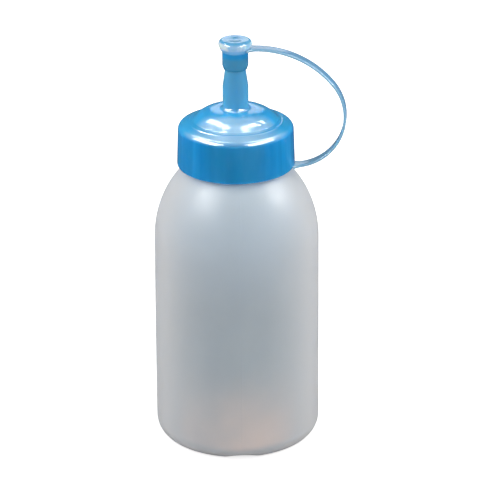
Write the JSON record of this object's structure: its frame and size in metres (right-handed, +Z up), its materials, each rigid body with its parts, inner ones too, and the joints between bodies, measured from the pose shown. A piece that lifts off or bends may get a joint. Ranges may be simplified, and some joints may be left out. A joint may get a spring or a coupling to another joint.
{
  "type": "wash bottle",
  "caption": "Round squeeze wash bottle with a screw closure, a straight conical nozzle and a tip cap tethered by a curved strap.",
  "frame": {"origin": "on the bottle's axis, on the plane that the bottle stands on", "axes": "+Z up along the bottle's axis towards the nozzle, +X towards the loop of the strap, +Y square to both"},
  "size_m": [0.07, 0.06, 0.1535],
  "materials": {
    "milky_ldpe": "natural translucent polyethylene, satin, cloudy white with a cool grey cast",
    "seal_foam": "closed-cell polyethylene foam, matt",
    "blue_closure": "translucent sky-blue moulded polyethylene, glossy",
    "blue_strap": "thin translucent pale-blue polyethylene, glossy",
    "blue_tip": "translucent sky-blue moulded polyethylene, glossy"
  },
  "bodies": {
    "bottle": {"bottle": "milky_ldpe"},
    "seal": {"seal_ring": "seal_foam"},
    "closure": {"nozzle_cap": "blue_closure", "strap_lower": "blue_strap"},
    "tip": {"strap_upper": "blue_strap", "tip_cap": "blue_tip"}
  },
  "joints": [
    {"name": "cap_lift", "type": "slide", "parent": "bottle", "child": "seal", "axis": [0, 0, 1], "range_m": [0, 0.0127]},
    {"name": "cap_turn", "type": "hinge", "parent": "seal", "child": "closure", "pos_m": [0, 0, 0.11], "axis": [0, 0, 1], "range_deg": [0, 1080]},
    {"name": "tip_cap_flip", "type": "hinge", "parent": "closure", "child": "tip", "pos_m": [0.02684, 0, 0.14475], "axis": [0, 1, 0], "range_deg": [0, 120]}
  ],
  "couplings": [
    {"joint": "cap_lift", "follows": "cap_turn", "m_per_rad": 0.00066845}
  ]
}
